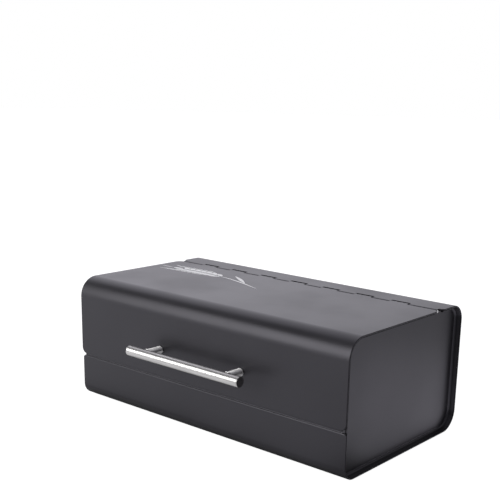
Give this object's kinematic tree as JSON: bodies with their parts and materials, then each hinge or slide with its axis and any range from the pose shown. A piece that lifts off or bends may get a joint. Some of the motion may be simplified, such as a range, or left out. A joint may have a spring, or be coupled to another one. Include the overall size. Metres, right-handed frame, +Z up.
{
  "type": "bread box",
  "caption": "Bread box of bent sheet steel with recessed ends, a rear-hinged lid that forms the top and most of the front, and a round bar handle.",
  "frame": {"origin": "on the table, under the middle of the box and its handle", "axes": "+X to the right seen from the front, along the hinge; +Y to the back; +Z up"},
  "size_m": [0.42, 0.264, 0.158],
  "materials": {
    "paint": "satin",
    "pin_steel": "bright",
    "handle_steel": "satin",
    "fastener_steel": "plated",
    "foot_rubber": "matt"
  },
  "bodies": {
    "box": {"body_wrap": "paint", "left_end_panel": "paint", "right_end_panel": "paint", "hinge_pin": "pin_steel", "front_left_foot": "foot_rubber", "front_right_foot": "foot_rubber", "rear_left_foot": "foot_rubber", "rear_right_foot": "foot_rubber"},
    "lid": {"lid": "paint", "handle_bar": "handle_steel", "left_handle_cap": "handle_steel", "right_handle_cap": "handle_steel", "left_handle_post": "handle_steel", "right_handle_post": "handle_steel", "handle_screws": "fastener_steel", "handle_washers": "fastener_steel"}
  },
  "joints": [
    {"name": "lid_hinge", "type": "hinge", "parent": "box", "child": "lid", "pos_m": [0, 0.08192, 0.1556], "axis": [-1, 0, 0], "range_deg": [0, 110]}
  ]
}
